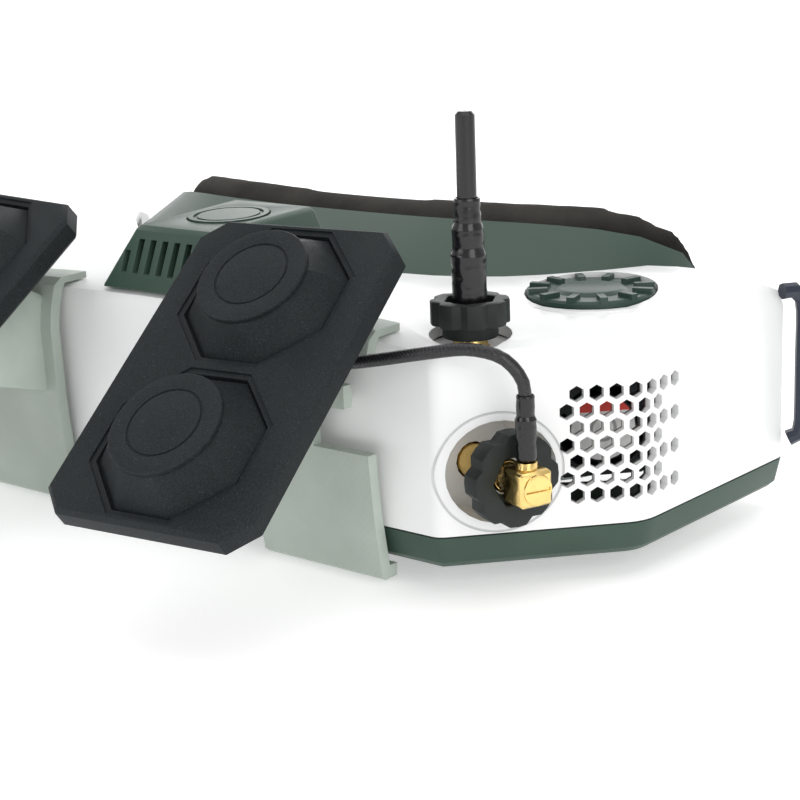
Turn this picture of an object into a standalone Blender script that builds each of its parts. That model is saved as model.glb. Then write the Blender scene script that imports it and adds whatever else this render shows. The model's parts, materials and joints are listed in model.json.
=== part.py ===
"""FPV goggles: shells, faceplate, optics, fans, four antenna ports, two patch and two whip antennas."""

import math

import bmesh
import bpy
from mathutils import Matrix, Vector
from mathutils.geometry import delaunay_2d_cdt

# All dimensions are in millimetres, measured from the centre plane (X), the front face (Y)
# and the joint line between the two shells (Z). SHIFT moves the part to the centre of its footprint.
SHIFT = Vector((0.0, -15.78, 11.12))
GAP = 0.3

WALL = 2.0
CORNER_A = (67.5, 0.0)
CORNER_B = (92.8, 27.9)
SIDE_BACK = (94.2, 78.7)
TOP_Z = 36.9
TOP_RISE = 0.037
CROWN = 0.00069
CROWN_END = 62.0
REAR_START = 58.0
REAR_DROP = 12.0
TOP_EDGE_R = 2.5
BACK_CURVE = [(90.0, 78.7), (86.0, 78.0), (82.5, 75.5), (79.0, 71.5), (76.0, 66.5), (72.0, 62.0),
              (66.0, 55.5), (57.0, 48.0), (51.0, 43.8), (45.0, 40.8), (38.0, 38.2), (30.0, 36.6),
              (17.0, 35.4)]
BACK_MID = 35.0

MOUTH_HALF = 75.3

BASE_BOTTOM = -6.2
BASE_INSET = 2.5

COWL_BASE_HALF = 17.2
COWL_TOP_HALF = 11.1
COWL_TOP_Y = 5.4
COWL_TOP_Z = 49.0
COWL_BACK_Y = 34.2
COWL_WALL = 1.8
SLOT_PITCH = 3.3
SLOT_COUNT = 8

DIAL_AT = (71.7, 42.8)
DIAL_R = 12.1
DIAL_RIBS = 12
DIAL_WELL = 3.9
DIAL_PRESS = 0.7

WHIP_AT = (67.0, 11.6)
WHIP_BASE_Z = 34.1
WHIP_TOP_Z = 74.0

PORT_AT = Vector((75.0, 8.3, 11.4))
PORT_AXIS = Vector((0.923, -0.384, 0.0)).normalized()
PORT_DEPTH = 9.0
PORT_RECESS_R = 9.4
ELBOW_AT = 9.2

VENT_PITCH = 3.6
VENT_ROW = 3.12
VENT_FLATS = 2.6
VENT_TOP_Z = 24.5
VENT_START = 25.3
FAN_S = 31.4
FAN_DEPTH = 5.6
FAN_Z = 16.4
FAN_HALF = 8.8
FAN_THICK = 5.0

OPTIC_X = 31.75
OPTIC_Z = 17.0
OPTIC_TRAVEL = 3.25
BARREL_R = 13.6
WINDOW_Y = 41.5

PATCH_AT = Vector((42.7, -25.9, 33.6))
PATCH_N = Vector((0.07, -0.613, 0.787)).normalized()
PATCH_UP = Vector((-0.094, 0.786, 0.61))
PATCH_HALF = (21.7, 33.0)
PATCH_CHAMFER = 4.6
PATCH_THICK = 4.8
DISC_OFFSET = 16.2
DISC_R = 10.4
DISC_RISE = 5.6

SCREWS = ((60.0, 10.0), (84.0, 60.0))

BRACKET_X = (27.0, 56.0)
BRACKET_WALL = 2.3
ARM_X = (30.2, 39.8)

WHITE = ((0.84, 0.85, 0.86), 0.38, 0.0)
GREEN = ((0.085, 0.118, 0.096), 0.55, 0.0)
DIAL_GREEN = ((0.055, 0.082, 0.066), 0.45, 0.0)
CHARCOAL = ((0.040, 0.047, 0.055), 0.85, 0.0)
PRINT_GREY = ((0.36, 0.40, 0.365), 0.6, 0.0)
BLACK = ((0.012, 0.012, 0.014), 0.35, 0.0)
NUT_BLACK = ((0.018, 0.018, 0.020), 0.7, 0.0)
NAVY = ((0.012, 0.018, 0.032), 0.45, 0.0)
GOLD = ((0.83, 0.60, 0.22), 0.2, 1.0)
FOAM = ((0.035, 0.029, 0.026), 0.95, 0.0)
BOARD = ((0.01, 0.08, 0.03), 0.5, 0.0)
STEEL = ((0.5, 0.5, 0.5), 0.35, 1.0)
PAPER = ((0.8, 0.8, 0.78), 0.5, 0.0)
LENS = ((0.05, 0.06, 0.09), 0.05, 0.0)
PANEL = ((0.02, 0.02, 0.03), 0.15, 0.0)

for old in list(bpy.data.objects):
    bpy.data.objects.remove(old, do_unlink=True)


def add(name, verts, faces, look=WHITE, smooth=30.0, split=False):
    """A closed mesh object, outward, in millimetres. split turns bent faces into triangles."""
    mesh = bpy.data.meshes.new(name)
    bm = bmesh.new()
    made = [bm.verts.new(v) for v in verts]
    for face in faces:
        bm.faces.new([made[i] for i in face])
    bmesh.ops.recalc_face_normals(bm, faces=bm.faces)
    if split:
        bm.normal_update()
        bmesh.ops.triangulate(bm, faces=bm.faces)
    bm.to_mesh(mesh)
    bm.free()
    obj = bpy.data.objects.new(name, mesh)
    bpy.context.scene.collection.objects.link(obj)
    obj["smooth"] = smooth
    paint(obj, look)
    return obj


def paint(obj, look):
    colour, rough, metal = look
    material = bpy.data.materials.new(obj.name)
    material.use_nodes = True
    shader = material.node_tree.nodes["Principled BSDF"]
    shader.inputs["Base Color"].default_value = (*colour, 1.0)
    shader.inputs["Roughness"].default_value = rough
    shader.inputs["Metallic"].default_value = metal
    obj.data.materials.clear()
    obj.data.materials.append(material)


def settle(obj):
    """Replaces the mesh of the object with the result of its modifiers."""
    bpy.context.view_layer.update()
    graph = bpy.context.evaluated_depsgraph_get()
    mesh = bpy.data.meshes.new_from_object(obj.evaluated_get(graph))
    obj.modifiers.clear()
    obj.data = mesh
    return obj


def boolean(obj, tools, operation):
    for tool in tools:
        modifier = obj.modifiers.new(tool.name, "BOOLEAN")
        modifier.operation = operation
        modifier.solver = "EXACT"
        modifier.object = tool
        settle(obj)
        bpy.data.objects.remove(tool, do_unlink=True)
    return obj


def clean(obj):
    """Removes slivers left where two cuts meet."""
    bm = bmesh.new()
    bm.from_mesh(obj.data)
    bmesh.ops.remove_doubles(bm, verts=bm.verts, dist=0.03)
    bmesh.ops.dissolve_degenerate(bm, edges=bm.edges, dist=0.005)
    bmesh.ops.holes_fill(bm, edges=[e for e in bm.edges if e.is_boundary], sides=8)
    bmesh.ops.recalc_face_normals(bm, faces=bm.faces)
    bmesh.ops.dissolve_limit(bm, angle_limit=math.radians(0.5), verts=bm.verts, edges=bm.edges)
    bmesh.ops.triangulate(bm, faces=bm.faces)
    bm.to_mesh(obj.data)
    bm.free()
    return obj


def cut(obj, *tools):
    return boolean(obj, tools, "DIFFERENCE")


def join(obj, *tools):
    return boolean(obj, tools, "UNION")


def bevel(obj, width, segments=2, angle=35.0):
    modifier = obj.modifiers.new("bevel", "BEVEL")
    modifier.width = width
    modifier.segments = segments
    modifier.limit_method = "ANGLE"
    modifier.angle_limit = math.radians(angle)
    modifier.use_clamp_overlap = True
    return settle(obj)


def along(axis, at, up=None):
    """A matrix whose Z runs along the axis from the point, and whose Y leans toward up."""
    z = Vector(axis).normalized()
    up = Vector(up) if up else (Vector((0, 0, 1)) if abs(z.z) < 0.9 else Vector((0, 1, 0)))
    x = up.cross(z).normalized()
    y = z.cross(x)
    turn = Matrix((x, y, z)).transposed().to_4x4()
    return Matrix.Translation(Vector(at)) @ turn


def lathe(name, profile, matrix, look=WHITE, sides=24, closed=False):
    """Turns (radius, height) points about the Z of the matrix."""
    verts = []
    rows = []
    for radius, height in profile:
        if radius < 1e-6:
            rows.append([len(verts)])
            verts.append(matrix @ Vector((0, 0, height)))
            continue
        rows.append(list(range(len(verts), len(verts) + sides)))
        for k in range(sides):
            a = math.tau * k / sides
            verts.append(matrix @ Vector((radius * math.cos(a), radius * math.sin(a), height)))
    faces = []
    pairs = list(zip(rows, rows[1:]))
    if closed:
        pairs.append((rows[-1], rows[0]))
    for low, high in pairs:
        for k in range(sides):
            n = (k + 1) % sides
            if len(low) == 1:
                faces.append([low[0], high[n], high[k]])
            elif len(high) == 1:
                faces.append([low[k], low[n], high[0]])
            else:
                faces.append([low[k], low[n], high[n], high[k]])
    if not closed:
        for row in (rows[0], rows[-1]):
            if len(row) > 1:
                faces.append(list(row))
    return add(name, verts, faces, look)


def disc(name, radius, low, high, matrix, look=WHITE, sides=24):
    return lathe(name, [(radius, low), (radius, high)], matrix, look, sides)


def prism(name, outline, low, high, matrix=Matrix(), look=WHITE, smooth=30.0):
    """Extrudes (x, y) points along the Z of the matrix."""
    count = len(outline)
    verts = [matrix @ Vector((x, y, low)) for x, y in outline]
    verts += [matrix @ Vector((x, y, high)) for x, y in outline]
    faces = [list(range(count)), list(range(count, 2 * count))]
    for k in range(count):
        n = (k + 1) % count
        faces.append([k, n, count + n, count + k])
    return add(name, verts, faces, look, smooth)


def block(name, low, high, look=WHITE, matrix=Matrix()):
    outline = [(low[0], low[1]), (high[0], low[1]), (high[0], high[1]), (low[0], high[1])]
    return prism(name, outline, low[2], high[2], matrix, look)


def place(obj, matrix):
    obj.data.transform(matrix)
    return obj


def mirrored(obj, name, look):
    """The same piece on the other side of the centre plane."""
    mesh = obj.data.copy()
    mesh.name = name
    mesh.transform(Matrix.Scale(-1, 4, (1, 0, 0)))
    mesh.flip_normals()
    other = bpy.data.objects.new(name, mesh)
    bpy.context.scene.collection.objects.link(other)
    other["smooth"] = obj["smooth"]
    paint(other, look)
    return other


def polygon(count, radius, turn=0.0):
    return [(radius * math.cos(turn + math.tau * k / count), radius * math.sin(turn + math.tau * k / count))
            for k in range(count)]


def rounded(points):
    """Replaces each (x, y, r) corner of a closed outline by an arc of that radius."""
    out = []
    count = len(points)
    for i, (x, y, r) in enumerate(points):
        here = Vector((x, y))
        if r <= 0:
            out.append(here)
            continue
        back = (Vector(points[i - 1][:2]) - here).normalized()
        ahead = (Vector(points[(i + 1) % count][:2]) - here).normalized()
        half = back.angle(ahead) / 2
        centre = here + (back + ahead).normalized() * (r / math.sin(half))
        start = here + back * (r / math.tan(half)) - centre
        end = here + ahead * (r / math.tan(half)) - centre
        turn = start.angle_signed(end)
        steps = max(2, round(abs(math.degrees(turn)) / 11))
        for k in range(steps + 1):
            spin = Matrix.Rotation(-turn * k / steps, 2)
            out.append(centre + spin @ start)
    return out


def spaced(points, step):
    """Adds points to a closed outline so that no side is longer than the step."""
    out = []
    for i, here in enumerate(points):
        there = points[(i + 1) % len(points)]
        parts = max(1, math.ceil((there - here).length / step))
        out += [here.lerp(there, k / parts) for k in range(parts)]
    return out


def inset(points, distances):
    """Moves each point of an anticlockwise outline inward by its distance."""
    out = []
    count = len(points)
    for i, here in enumerate(points):
        before = (here - points[i - 1]).normalized()
        after = (points[(i + 1) % count] - here).normalized()
        normal = Vector((-before.y - after.y, before.x + after.x)).normalized()
        slope = max(0.5, normal.dot(Vector((-before.y, before.x))))
        out.append(here + normal * (distances[i] / slope))
    return out


def inside(point, outline):
    hit = False
    for i, a in enumerate(outline):
        b = outline[i - 1]
        if (a.y > point.y) != (b.y > point.y):
            if point.x < (b.x - a.x) * (point.y - a.y) / (b.y - a.y) + a.x:
                hit = not hit
    return hit


def clear_of(point, outline, distance):
    for i, a in enumerate(outline):
        b = outline[i - 1]
        side = b - a
        t = max(0.0, min(1.0, (point - a).dot(side) / max(side.length_squared, 1e-9)))
        if (a + side * t - point).length < distance:
            return False
    return True


def cap(verts, row, height, step):
    """Faces that fill a row of vertices, with points added at the height function."""
    outline = [Vector((verts[i].x, verts[i].y)) for i in row]
    xs = [p.x for p in outline]
    ys = [p.y for p in outline]
    extra = []
    for i in range(int((max(xs) - min(xs)) / step) + 1):
        for j in range(int((max(ys) - min(ys)) / step) + 1):
            spot = Vector((min(xs) + step * (i + 0.5), min(ys) + step * (j + 0.5)))
            if inside(spot, outline) and clear_of(spot, outline, step * 0.45):
                extra.append(spot)
    result = delaunay_2d_cdt(outline + extra, [], [list(range(len(outline)))], 1, 1e-5)
    index = []
    for spot, source in zip(result[0], result[3]):
        if source and source[0] < len(row):
            index.append(row[source[0]])
        else:
            index.append(len(verts))
            verts.append(Vector((spot.x, spot.y, height(spot.x, spot.y))))
    return [[index[i] for i in face] for face in result[2]]


def stack(name, rings, heights, look, step=15.0, smooth=30.0):
    """Joins outlines from bottom to top. Each outline has its own height function."""
    verts = []
    rows = []
    for ring, height in zip(rings, heights):
        rows.append(list(range(len(verts), len(verts) + len(ring))))
        verts += [Vector((p.x, p.y, height(p.x, p.y))) for p in ring]
    faces = []
    for low, high in zip(rows, rows[1:]):
        for k in range(len(low)):
            n = (k + 1) % len(low)
            faces.append([low[k], low[n], high[n], high[k]])
    faces += cap(verts, rows[0], heights[0], step)
    faces += cap(verts, rows[-1], heights[-1], step)
    return add(name, verts, faces, look, smooth, True)


def level(z):
    return lambda x, y: z


def top_z(x, y):
    """The height of the white top surface."""
    fade = max(0.0, 1.0 - y / CROWN_END)
    z = TOP_Z + TOP_RISE * y - CROWN * fade * x * x
    if y > REAR_START:
        t = min(1.0, (y - REAR_START) / (SIDE_BACK[1] - REAR_START + 0.05))
        z -= REAR_DROP * (1.0 - math.sqrt(1.0 - t * t))
    return z


def back_y(x):
    """Where the shells end at the back, as a function of x."""
    curve = [(SIDE_BACK[0] + 20, SIDE_BACK[1]), SIDE_BACK] + BACK_CURVE + [(0.0, BACK_MID)]
    x = abs(x)
    for (x1, y1), (x0, y0) in zip(curve, curve[1:]):
        if x0 <= x <= x1:
            return y0 + (y1 - y0) * (x - x0) / (x1 - x0)
    return SIDE_BACK[1]


def shell_outline():
    half = [(*CORNER_A, 3.5), (*CORNER_B, 9.0), (*SIDE_BACK, 3.6)]
    half += [(x, y, 0.0) for x, y in BACK_CURVE]
    other = [(-x, y, r) for x, y, r in reversed(half)]
    path = half + [(0.0, BACK_MID, 0.0)] + other
    return spaced(rounded(path), 13.0)


OUTLINE = shell_outline()


def on_back(p):
    return p.y > BACK_MID - 0.5 and p.y > back_y(p.x) - 0.6 and abs(p.x) < 90.5


def shell_insets(front, back):
    return [back if on_back(p) else front for p in OUTLINE]


def hollow_out(shell, low, height):
    """Leaves a wall all round, then opens the back between the cheeks."""
    ring = inset(OUTLINE, shell_insets(WALL, WALL))
    cut(shell, stack("hollow", [ring, ring], [low, height], WHITE))
    count = 16
    xs = [MOUTH_HALF * (2 * k / count - 1) for k in range(count + 1)]
    mouth = [Vector((x, back_y(x) - 5.2)) for x in xs]
    mouth += [Vector((x, back_y(x) + 12.0)) for x in reversed(xs)]
    cut(shell, stack("mouth", [mouth, mouth], [low, height], WHITE))


def wall_at(s):
    """Point and outward normal on the corner wall, s millimetres from corner A."""
    a = Vector(CORNER_A)
    b = Vector(CORNER_B)
    c = Vector(SIDE_BACK)
    run = (b - a).normalized()
    side = (c - b).normalized()
    radius = 9.0
    turn = run.angle(side)
    tangent = radius * math.tan(turn / 2)
    first = (b - a).length - tangent
    outward = Vector((run.y, -run.x))
    if s <= first:
        return a + run * s, outward
    bend = (s - first) / radius
    if bend < turn:
        centre = a + run * first - outward * radius
        normal = Matrix.Rotation(bend, 2) @ outward
        return centre + normal * radius, normal
    normal = Vector((side.y, -side.x))
    return b + side * (tangent + s - first - radius * turn), normal


# Front shell ---------------------------------------------------------------------------------

FILLET = (0, 45, 90)


def fillet_height(degrees):
    drop = 1.0 - math.sin(math.radians(degrees))

    def height(x, y):
        edge = TOP_EDGE_R if y < back_y(x) - 4.5 or abs(x) > 86 else 0.4
        return top_z(x, y) - edge * drop
    return height


def front_shell():
    rings = [OUTLINE]
    heights = [level(GAP / 2)]
    for degrees in FILLET:
        turn = 1.0 - math.cos(math.radians(degrees))
        rings.append(inset(OUTLINE, shell_insets(TOP_EDGE_R * turn, 0.4 * turn)))
        heights.append(fillet_height(degrees))
    shell = stack("front_shell", rings, heights, WHITE)
    hollow_out(shell, level(-2.0), lambda x, y: top_z(x, min(y, back_y(x))) - WALL)
    for side in (1, -1):
        flip = Matrix.Scale(side, 4, (1, 0, 0))
        port = flip @ along(PORT_AXIS, PORT_AT)
        boss = disc("boss", PORT_RECESS_R + 1.8, -PORT_DEPTH - 2.0, 6.0, port)
        under = inset(OUTLINE, shell_insets(1.0, 1.0))
        keep = stack("keep", [under, under], [level(0.6), level(30.0)], WHITE)
        boolean(boss, [keep], "INTERSECT")
        join(shell, boss)
        recess = [(PORT_RECESS_R - 0.8, -PORT_DEPTH), (PORT_RECESS_R, 0.0), (PORT_RECESS_R + 1.0, 9.0)]
        cut(shell, lathe("recess", recess, port, sides=26))
        cut(shell, disc("bore", 3.5, -PORT_DEPTH - 4.0, -PORT_DEPTH + 1.0, port, sides=14))
        cut(shell, hex_vents(flip))
        whip = flip @ Matrix.Translation((*WHIP_AT, 0.0))
        seat = [(3.5, 28.0), (3.5, WHIP_BASE_Z - 1.6), (7.3, WHIP_BASE_Z - 1.6), (7.7, 40.0)]
        join(shell, disc("pad", 9.0, WHIP_BASE_Z - 3.4, WHIP_BASE_Z - 1.2, whip))
        cut(shell, lathe("seat", seat, whip, sides=22))
    z = top_z(*DIAL_AT)
    dial = Matrix.Translation((*DIAL_AT, z))
    join(shell, disc("pan", DIAL_R + 2.0, -DIAL_WELL - 2.0, -1.0, dial, sides=28))
    cut(shell, lathe("well", [(DIAL_R + GAP, -DIAL_WELL), (DIAL_R + 0.5, 3.0)], dial, sides=28))
    cut(shell, disc("stem", 2.6, -8.0, -2.0, dial, sides=14))
    cut(shell, disc("intake", 8.6, 30.0, 42.0, Matrix.Translation((0, 19.5, 0))))
    return shell


def hex_vents(flip):
    verts = []
    faces = []
    for row in range(7):
        for column in range(6 + (row + 1) % 2):
            s = VENT_START + VENT_PITCH * (column - 0.5 * (row % 2))
            z = VENT_TOP_Z - VENT_ROW * row
            at, normal = wall_at(s)
            place = flip @ along((*normal, 0.0), (*at, z))
            outline = polygon(6, VENT_FLATS / math.sqrt(3), math.pi / 2)
            first = len(verts)
            for depth in (-2.6, 1.2):
                verts += [place @ Vector((x, y, depth)) for x, y in outline]
            faces += [[first + k for k in range(6)], [first + 6 + k for k in range(6)]]
            for k in range(6):
                n = (k + 1) % 6
                faces.append([first + k, first + n, first + 6 + n, first + 6 + k])
    return add("vents", verts, faces)


# Base and faceplate ----------------------------------------------------------------------------

def bottom_shell():
    steps = ((BASE_INSET, BASE_BOTTOM), (1.1, BASE_BOTTOM * 0.8), (0.0, -GAP / 2))
    rings = [inset(OUTLINE, shell_insets(width, 0.0)) for width, z in steps]
    base = stack("bottom_shell", rings, [level(z) for width, z in steps], GREEN)
    hollow_out(base, level(BASE_BOTTOM + WALL), level(2.0))
    for side in (1, -1):
        slot = block("slot", (side * OPTIC_X - 6.5, 13.0, -9.0), (side * OPTIC_X + 6.5, 17.5, 0.0))
        cut(base, slot)
        for x, y in SCREWS:
            spot = Matrix.Translation((side * x, y, 0))
            cut(base, disc("head", 2.6, -9.0, BASE_BOTTOM + 1.0, spot, sides=12))
            cut(base, disc("shank", 1.4, -9.0, 0.0, spot, sides=16))
    return base


EYE_COUNT = 52


def eye_samples():
    """Even steps round a unit loop that is squarer above than below."""
    dense = []
    for k in range(3600):
        a = math.tau * k / 3600
        n = 5.0 if math.sin(a) > 0 else 3.2
        u = math.copysign(abs(math.cos(a)) ** (2 / n), math.cos(a))
        v = math.copysign(abs(math.sin(a)) ** (2 / n), math.sin(a))
        dense.append(Vector((u, v)))
    steps = [math.hypot((b.x - a.x) * 85.0, (b.y - a.y) * 30.0) for a, b in zip(dense, dense[1:] + dense[:1])]
    pitch = sum(steps) / EYE_COUNT
    samples = []
    run = 0.0
    for spot, step in zip(dense, steps):
        if run >= pitch * len(samples) - 1e-9 and len(samples) < EYE_COUNT:
            samples.append(spot)
        run += step
    return samples


EYE_UV = eye_samples()


def loop(half, high, low, depth):
    """A closed ring of points round the face opening. high, low and depth are functions of x."""
    ring = []
    mid = 15.0
    for u, v in EYE_UV:
        x = half * u
        z = mid + v * ((high(x) - mid) if v > 0 else (mid - low(x)))
        ring.append(Vector((x, depth(x, v), z)))
    return ring


def brow_z(x):
    return 45.6 + 1.5 * (x / 80.0) ** 2


def chin_z(x):
    return -11.0 + 20.0 * math.exp(-((x / 13.0) ** 2))


def face_y(x):
    return 55.5 + 34.5 * (abs(x) / 82.0) ** 3.7


def bowl(rings, centres):
    """Faces that join rings one after another and fill the first and last to a centre point."""
    verts = [p for ring in rings for p in ring] + centres
    faces = []
    for r in range(len(rings) - 1):
        for k in range(EYE_COUNT):
            n = (k + 1) % EYE_COUNT
            a = r * EYE_COUNT
            faces.append([a + k, a + n, a + EYE_COUNT + n, a + EYE_COUNT + k])
    last = (len(rings) - 1) * EYE_COUNT
    for k in range(EYE_COUNT):
        n = (k + 1) % EYE_COUNT
        faces.append([k, n, len(verts) - 2])
        faces.append([last + k, last + n, len(verts) - 1])
    return verts, faces


def face_ring(half, grow, depth, high=None, low=None):
    high = high or (lambda x: brow_z(x) + grow)
    low = low or (lambda x: chin_z(x) - grow)
    return loop(half, high, low, depth)


def faceplate():
    def floor_low(x):
        return max(0.5, chin_z(x) + 9.0)

    def seat_high(x):
        return top_z(x, back_y(x)) - 0.5
    rings = [
        loop(64.0, lambda x: 35.3 - 0.0006 * x * x, lambda x: floor_low(x) - 1.4, lambda x, v: WINDOW_Y - 0.8),
        face_ring(68.0, -7.6, lambda x, v: face_y(x) - 1.0),
        face_ring(73.4, -2.2, lambda x, v: face_y(x) - 1.1),
        loop(80.6, lambda x: seat_high(x) - 2.0, lambda x: BASE_BOTTOM + 2.4, lambda x, v: back_y(x) + 0.5),
        loop(82.6, seat_high, lambda x: BASE_BOTTOM + 0.4, lambda x, v: back_y(x) + 0.5),
        face_ring(75.6, 0.0, lambda x, v: face_y(x)),
        face_ring(74.8, -0.8, lambda x, v: face_y(x) + 0.9),
        face_ring(66.2, -9.4, lambda x, v: face_y(x) + 0.9),
        loop(62.6, lambda x: 33.9 - 0.0006 * x * x, floor_low, lambda x, v: WINDOW_Y + 1.0)]
    centres = [Vector((0.0, WINDOW_Y - 0.8, 26.0)), Vector((0.0, WINDOW_Y + 1.0, 26.0))]
    plate = add("faceplate", *bowl(rings, centres), GREEN, split=True)
    for side in (1, -1):
        points = []
        for x, y in polygon(32, BARREL_R + 0.6, math.pi / 32):
            points.append((x + math.copysign(OPTIC_TRAVEL, x), y))
        hole = along((0, 1, 0), (side * OPTIC_X, WINDOW_Y, OPTIC_Z))
        cut(plate, prism("window", points, -6.0, 6.0, hole))
    z = top_z(*DIAL_AT) - DIAL_WELL - 2.0
    cut(plate, disc("pan", DIAL_R + 2.6, z - 0.5, 60.0, Matrix.Translation((*DIAL_AT, 0.0)), sides=28))
    return plate


def face_foam():
    rings = []
    sections = [(-1.0, 1.5), (0.3, 5.2), (0.7, 9.2), (-0.4, 12.0), (-4.0, 13.2), (-7.4, 11.6), (-8.8, 7.2),
                (-8.8, 1.5)]
    for grow, depth in sections:
        lift = 2.2 * min(1.0, (depth - 1.5) / 5.0) if grow > -5.0 else 0.0

        def high(x):
            return brow_z(x) + grow + lift + 0.32 * depth * (x / 75.0) ** 2

        def back(x, v):
            return face_y(x) + 1.5 + (depth - 1.5) * (1.0 - 0.35 * (x / 75.0) ** 2)
        rings.append(face_ring(74.6 + grow - 0.24 * depth, grow, back, high))
    verts = [p for ring in rings for p in ring]
    faces = []
    for r in range(len(rings)):
        for k in range(EYE_COUNT):
            n = (k + 1) % EYE_COUNT
            a = r * EYE_COUNT
            b = ((r + 1) % len(rings)) * EYE_COUNT
            faces.append([a + k, a + n, b + n, b + k])
    return add("face_foam", verts, faces, FOAM, 60.0, True)


# Cowl, fans and electronics --------------------------------------------------------------------

def cowl_solid(name, base, top, front, back, low, high, lean, drop=0.0):
    """A four-sided block that narrows upward and leans back at the front."""
    rise = TOP_RISE * (back - front)
    verts = [(-base, front, low), (base, front, low), (base, back, low + rise), (-base, back, low + rise)]
    verts += [(-top, front + lean, high), (top, front + lean, high)]
    verts += [(top, back, high + rise - drop), (-top, back, high + rise - drop)]
    faces = [(0, 1, 2, 3), (4, 5, 6, 7), (0, 1, 5, 4), (1, 2, 6, 5), (2, 3, 7, 6), (3, 0, 4, 7)]
    return add(name, [Vector(v) for v in verts], faces, GREEN)


def fan_cowl():
    base_z = TOP_Z - 0.4
    slope = (COWL_BASE_HALF - COWL_TOP_HALF) / (COWL_TOP_Z - TOP_Z)
    cowl = cowl_solid("fan_cowl", COWL_BASE_HALF + 0.4 * slope, COWL_TOP_HALF, 0.0, COWL_BACK_Y, base_z,
                      COWL_TOP_Z, COWL_TOP_Y)
    bevel(cowl, 0.9, 1)
    foot = stack("foot", [OUTLINE, OUTLINE], [level(20.0), lambda x, y: top_z(x, y) + GAP], WHITE)
    cut(cowl, foot)
    base = COWL_BASE_HALF - COWL_WALL - 0.4
    top = COWL_TOP_HALF - COWL_WALL + 0.2
    cut(cowl, cowl_solid("hollow", base + 2.5, top, 1.6 - 1.8, COWL_BACK_Y - 1.6, base_z - 5.0,
                         COWL_TOP_Z - COWL_WALL, COWL_TOP_Y + 2.2))
    return cowl


def cowl_slots(cowl):
    for k in range(SLOT_COUNT):
        x = SLOT_PITCH * (k - (SLOT_COUNT - 1) / 2)
        tall = 46.6 - max(0.0, abs(x) - 9.0) * 0.9
        cut(cowl, block("slot", (x - 0.8, -4.0, 40.2), (x + 0.8, 9.0, tall)))
    lean = math.atan(TOP_RISE)
    badge = Matrix.Translation((0, 20.5, cowl_top(20.5))) @ Matrix.Rotation(lean, 4, "X")
    cut(cowl, disc("seat", 8.5, -0.7, 3.0, badge, sides=26))
    return badge


def cowl_top(y):
    return COWL_TOP_Z + TOP_RISE * (y - COWL_TOP_Y)


def fan(prefix, suffix, matrix, half, hub, blades, stator):
    """A frame with a bore, and a rotor of blades that turns in it. stator is the side of the fixed hub."""
    thick = FAN_THICK
    bore = half - 0.7
    corner = half * 0.82
    outline = [(half, -corner), (half, corner), (corner, half), (-corner, half), (-half, corner),
               (-half, -corner), (-corner, -half), (corner, -half)]
    frame = prism(prefix + "_frame" + suffix, outline, 0.0, thick, look=NUT_BLACK)
    cut(frame, disc("bore", bore, -1.0, thick + 1.0, Matrix(), sides=22))
    low, high = (thick - 1.0, thick) if stator > 0 else (0.0, 1.0)
    plate = disc("plate", hub + 0.3, low, high, Matrix(), NUT_BLACK)
    for k in range(3):
        turn = Matrix.Rotation(math.radians(30 + 120 * k), 4, "Z")
        join(plate, block("strut", (hub - 1.0, -0.8, low + 0.1), (bore + 0.35, 0.8, high - 0.1), NUT_BLACK, turn))
    join(frame, plate)
    start, end = (0.4, thick - 1.4) if stator > 0 else (1.4, thick - 0.4)
    rotor = disc(prefix + "_rotor" + suffix, hub, start, end, Matrix(), NUT_BLACK, 18)
    wide = (end - start) * 0.55
    for k in range(blades):
        turn = Matrix.Rotation(math.tau * (k + 0.13) / blades, 4, "Z")
        tilt = turn @ Matrix.Translation((hub, 0, (start + end) / 2)) @ Matrix.Rotation(0.75, 4, "X")
        join(rotor, block("blade", (-1.0, -wide, -0.25), (bore - hub - 0.5, wide, 0.25), NUT_BLACK, tilt))
    return place(frame, matrix), place(rotor, matrix)


def fan_matrix():
    run = (Vector(CORNER_B) - Vector(CORNER_A)).normalized()
    outward = Vector((run.y, -run.x))
    at = Vector(CORNER_A) + run * FAN_S - outward * (FAN_DEPTH + FAN_THICK)
    return along((*outward, 0.0), (*at, FAN_Z))


# Antenna hardware --------------------------------------------------------------------------------

def thumb_nut(name, matrix, low, high, notches, outer, collar, bore, skirt=2.4):
    """A collar with a wider scalloped head, bored through."""
    points = []
    for k in range(notches * 4):
        a = math.tau * k / (notches * 4)
        r = outer - (0.9 if math.cos(a * notches) < -0.25 else 0.0)
        points.append((r * math.cos(a), r * math.sin(a)))
    nut = prism(name, points, low + skirt, high, look=NUT_BLACK)
    join(nut, disc("collar", collar, low, low + skirt + 0.6, Matrix(), NUT_BLACK))
    cut(nut, disc("bore", bore, low - 1.0, high + 1.0, Matrix(), sides=24))
    cut(nut, prism("hex", polygon(6, 4.9), high - 2.2, high + 1.0))
    return place(nut, matrix)


def sma_jack(name, matrix, floor, top):
    """A threaded barrel with a flange behind the wall that holds it."""
    profile = [(3.1, floor - 6.0), (3.1, floor - 3.9), (4.8, floor - 3.9), (4.8, floor - 2.3),
               (3.1, floor - 2.3), (3.1, top - 0.3), (2.8, top)]
    return lathe(name, profile, matrix, GOLD, 16)


def elbow_plug(name, matrix):
    """The right-angle plug: a neck on the port axis, a square block and a capped end."""
    low = ELBOW_AT - 3.0
    body = block(name, (-3.15, -3.15, low), (3.15, 3.15, low + 6.3), GOLD)
    bevel(body, 0.5, 1)
    join(body, disc("neck", 2.7, 3.4, low + 1.0, Matrix(), GOLD, 18))
    join(body, disc("cap", 2.75, low + 5.5, low + 6.75, Matrix(), GOLD, 24))
    cut(body, block("slot", (-2.4, -0.3, low + 6.35), (2.4, 0.3, low + 8.0), GOLD))
    join(body, disc("ferrule", 1.9, 2.0, 4.3, along((0, 1, 0), (0, 0, ELBOW_AT), (1, 0, 0)), GOLD, 18))
    return place(body, matrix)


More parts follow.
